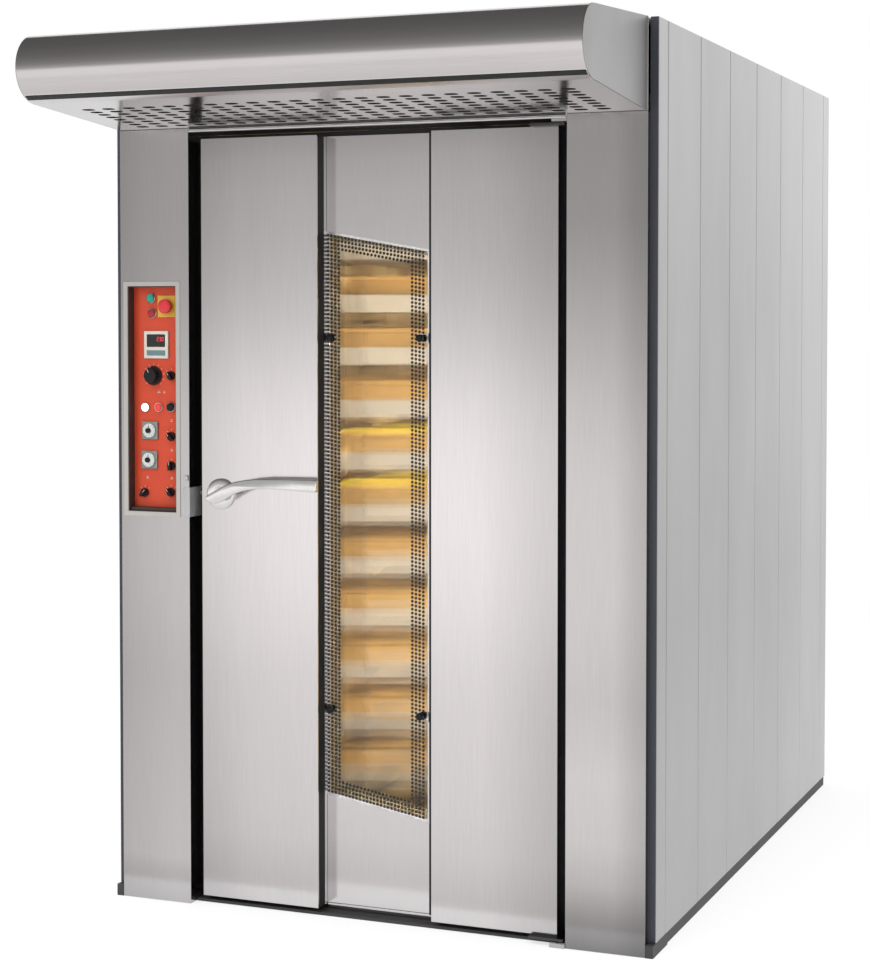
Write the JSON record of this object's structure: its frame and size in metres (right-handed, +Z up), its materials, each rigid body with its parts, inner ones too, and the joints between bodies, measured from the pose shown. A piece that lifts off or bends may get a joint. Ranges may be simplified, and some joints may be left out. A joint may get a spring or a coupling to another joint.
{
  "type": "rotating rack oven",
  "caption": "Upright stainless steel rack oven with a windowed insulated door, slotted steam hood, recessed control panel and a tray rack turning in its chamber.",
  "frame": {"origin": "on the floor, at the centre of the bounding box's footprint", "axes": "+Z up, -Y out of the door, +X to the right for a person who faces the door, where the door's hinge is"},
  "size_m": [1.51, 2.5599, 2.39],
  "materials": {
    "stainless_brushed": "satin",
    "stainless_lining": "satin",
    "side_sheet": "matte",
    "bezel_steel": "satin",
    "bright_fittings": "gloss",
    "heat_steel": "matte",
    "rack_steel": "satin",
    "base_paint": "matte",
    "black_gasket": "matte",
    "mineral_fibre": "matte",
    "burner_red": "satin",
    "motor_blue": "satin",
    "fascia_orange": "satin",
    "control_plastic": "matte",
    "control_black": "matte",
    "button_green": "gloss",
    "button_red": "gloss",
    "stop_red": "gloss",
    "dial_grey": "matte",
    "lamp_lens": "gloss",
    "window_glass": "gloss",
    "clamp_black": "satin",
    "tray_cream": "satin",
    "tin_glaze": "satin",
    "castor_plastic": "matte"
  },
  "bodies": {
    "oven": {"base_frame": "base_paint", "left_post": "stainless_brushed", "right_post": "stainless_brushed", "dark_trims": "black_gasket", "header_panel": "stainless_brushed", "side_panels": "side_sheet", "rear_panels": "side_sheet", "roof_panels": "side_sheet", "insulation_slabs": "mineral_fibre", "chamber_lining": "stainless_lining", "air_ducts": "stainless_lining", "heat_exchanger": "heat_steel", "burner": "burner_red", "fan_motor": "motor_blue", "steam_cascade": "heat_steel", "flue_pipe": "stainless_lining", "rack_gearmotor": "motor_blue", "hood_shell": "stainless_brushed", "hood_end_plates": "stainless_brushed", "hood_grille": "stainless_brushed", "extractor_housing": "stainless_lining", "control_bezel": "bezel_steel", "control_fascia": "fascia_orange", "control_modules": "control_plastic", "indicator_lamps": "lamp_lens", "frame_fittings": "bright_fittings", "chamber_lamps": "lamp_lens"},
    "door": {"door_panels": "stainless_brushed", "door_core": "mineral_fibre", "door_inner_skin": "stainless_lining", "window_panes": "window_glass", "glass_clamps": "clamp_black", "door_pivots": "bright_fittings", "handle_rosette": "bright_fittings"},
    "lever": {"door_lever": "bright_fittings"},
    "bolt": {"latch_bolt": "bright_fittings"},
    "rack": {"drive_shaft": "heat_steel", "rack_frame": "rack_steel", "trays": "tray_cream", "loaf_tins": "tin_glaze"},
    "castor_fork_left": {"castor_fork_left": "bright_fittings"},
    "castor_wheel_left": {"castor_wheel_left": "castor_plastic"},
    "castor_fork_right": {"castor_fork_right": "bright_fittings"},
    "castor_wheel_right": {"castor_wheel_right": "castor_plastic"},
    "castor_wheels_rear": {"castor_wheels_rear": "castor_plastic"},
    "fan": {"fan_wheel": "heat_steel"},
    "damper": {"flue_damper": "heat_steel"},
    "extractor": {"extractor_wheel": "heat_steel"},
    "green_button": {"green_button": "button_green"},
    "red_button": {"red_button": "button_red"},
    "black_button": {"black_button": "control_black"},
    "stop_button": {"stop_button": "stop_red"},
    "main_dial": {"main_dial": "control_black"},
    "selector_dial": {"selector_dial": "control_black"},
    "selector_timer_upper": {"selector_timer_upper": "control_black"},
    "selector_timer_lower": {"selector_timer_lower": "control_black"},
    "selector_left": {"selector_left": "control_black"},
    "selector_right": {"selector_right": "control_black"},
    "timer_dial_upper": {"timer_dial_upper": "dial_grey"},
    "timer_dial_lower": {"timer_dial_lower": "dial_grey"}
  },
  "joints": [
    {"name": "door_swing", "type": "hinge", "parent": "oven", "child": "door", "pos_m": [0.514, -0.77, 0], "axis": [0, 0, 1], "range_deg": [0, 110]},
    {"name": "lever_turn", "type": "hinge", "parent": "door", "child": "lever", "pos_m": [-0.442, -0.798, 1.103], "axis": [0, 1, 0], "range_deg": [0, 50], "stiffness_Nm_per_rad": 4, "springref_deg": -34.38},
    {"name": "bolt_slide", "type": "slide", "parent": "door", "child": "bolt", "axis": [1, 0, 0], "range_m": [0, 0.018]},
    {"name": "rack_spin", "type": "hinge", "parent": "oven", "child": "rack", "pos_m": [0, 0, 2.124], "axis": [0, 0, 1], "continuous": true},
    {"name": "castor_swivel_left", "type": "hinge", "parent": "rack", "child": "castor_fork_left", "pos_m": [-0.25501, -0.36188, 0.151], "axis": [0, 0, 1], "continuous": true},
    {"name": "castor_roll_left", "type": "hinge", "parent": "castor_fork_left", "child": "castor_wheel_left", "pos_m": [-0.2655, -0.33592, 0.069], "axis": [0.9272, 0.3746, 0], "continuous": true},
    {"name": "castor_swivel_right", "type": "hinge", "parent": "rack", "child": "castor_fork_right", "pos_m": [0.43482, -0.08317, 0.151], "axis": [0, 0, 1], "continuous": true},
    {"name": "castor_roll_right", "type": "hinge", "parent": "castor_fork_right", "child": "castor_wheel_right", "pos_m": [0.42433, -0.05721, 0.069], "axis": [0.9272, 0.3746, 0], "continuous": true},
    {"name": "castor_roll_rear", "type": "hinge", "parent": "rack", "child": "castor_wheels_rear", "pos_m": [-0.08991, 0.22252, 0.069], "axis": [0.9272, 0.3746, 0], "continuous": true},
    {"name": "fan_spin", "type": "hinge", "parent": "oven", "child": "fan", "pos_m": [0, 0.726, 1.69], "axis": [0, 1, 0], "continuous": true},
    {"name": "extractor_spin", "type": "hinge", "parent": "oven", "child": "extractor", "pos_m": [0, -0.56, 2.19], "axis": [0, 0, 1], "continuous": true},
    {"name": "damper_turn", "type": "hinge", "parent": "oven", "child": "damper", "pos_m": [0.3, 0.924, 1.901], "axis": [1, 0, 0], "range_deg": [0, 90]},
    {"name": "green_button_press", "type": "slide", "parent": "oven", "child": "green_button", "axis": [0, 1, 0], "range_m": [0, 0.004], "stiffness_N_per_m": 300, "springref_m": -0.002},
    {"name": "red_button_press", "type": "slide", "parent": "oven", "child": "red_button", "axis": [0, 1, 0], "range_m": [0, 0.004], "stiffness_N_per_m": 300, "springref_m": -0.002},
    {"name": "black_button_press", "type": "slide", "parent": "oven", "child": "black_button", "axis": [0, 1, 0], "range_m": [0, 0.004], "stiffness_N_per_m": 300, "springref_m": -0.002},
    {"name": "stop_button_press", "type": "slide", "parent": "oven", "child": "stop_button", "axis": [0, 1, 0], "range_m": [0, 0.005]},
    {"name": "main_dial_turn", "type": "hinge", "parent": "oven", "child": "main_dial", "pos_m": [-0.65, -0.753, 1.415], "axis": [0, 1, 0], "range_deg": [0, 270]},
    {"name": "selector_dial_turn", "type": "hinge", "parent": "oven", "child": "selector_dial", "pos_m": [-0.596, -0.753, 1.415], "axis": [0, 1, 0], "range_deg": [0, 90]},
    {"name": "selector_timer_upper_turn", "type": "hinge", "parent": "oven", "child": "selector_timer_upper", "pos_m": [-0.596, -0.753, 1.252], "axis": [0, 1, 0], "range_deg": [0, 90]},
    {"name": "selector_timer_lower_turn", "type": "hinge", "parent": "oven", "child": "selector_timer_lower", "pos_m": [-0.596, -0.753, 1.173], "axis": [0, 1, 0], "range_deg": [-45, 45]},
    {"name": "selector_left_turn", "type": "hinge", "parent": "oven", "child": "selector_left", "pos_m": [-0.678, -0.753, 1.099], "axis": [0, 1, 0], "range_deg": [-90, 0]},
    {"name": "selector_right_turn", "type": "hinge", "parent": "oven", "child": "selector_right", "pos_m": [-0.598, -0.753, 1.102], "axis": [0, 1, 0], "range_deg": [0, 90]},
    {"name": "timer_dial_upper_turn", "type": "hinge", "parent": "oven", "child": "timer_dial_upper", "pos_m": [-0.66, -0.753, 1.267], "axis": [0, 1, 0], "range_deg": [0, 300]},
    {"name": "timer_dial_lower_turn", "type": "hinge", "parent": "oven", "child": "timer_dial_lower", "pos_m": [-0.662, -0.753, 1.188], "axis": [0, 1, 0], "range_deg": [0, 300]}
  ],
  "couplings": [
    {"joint": "bolt_slide", "follows": "lever_turn", "m_per_rad": 0.020624}
  ]
}
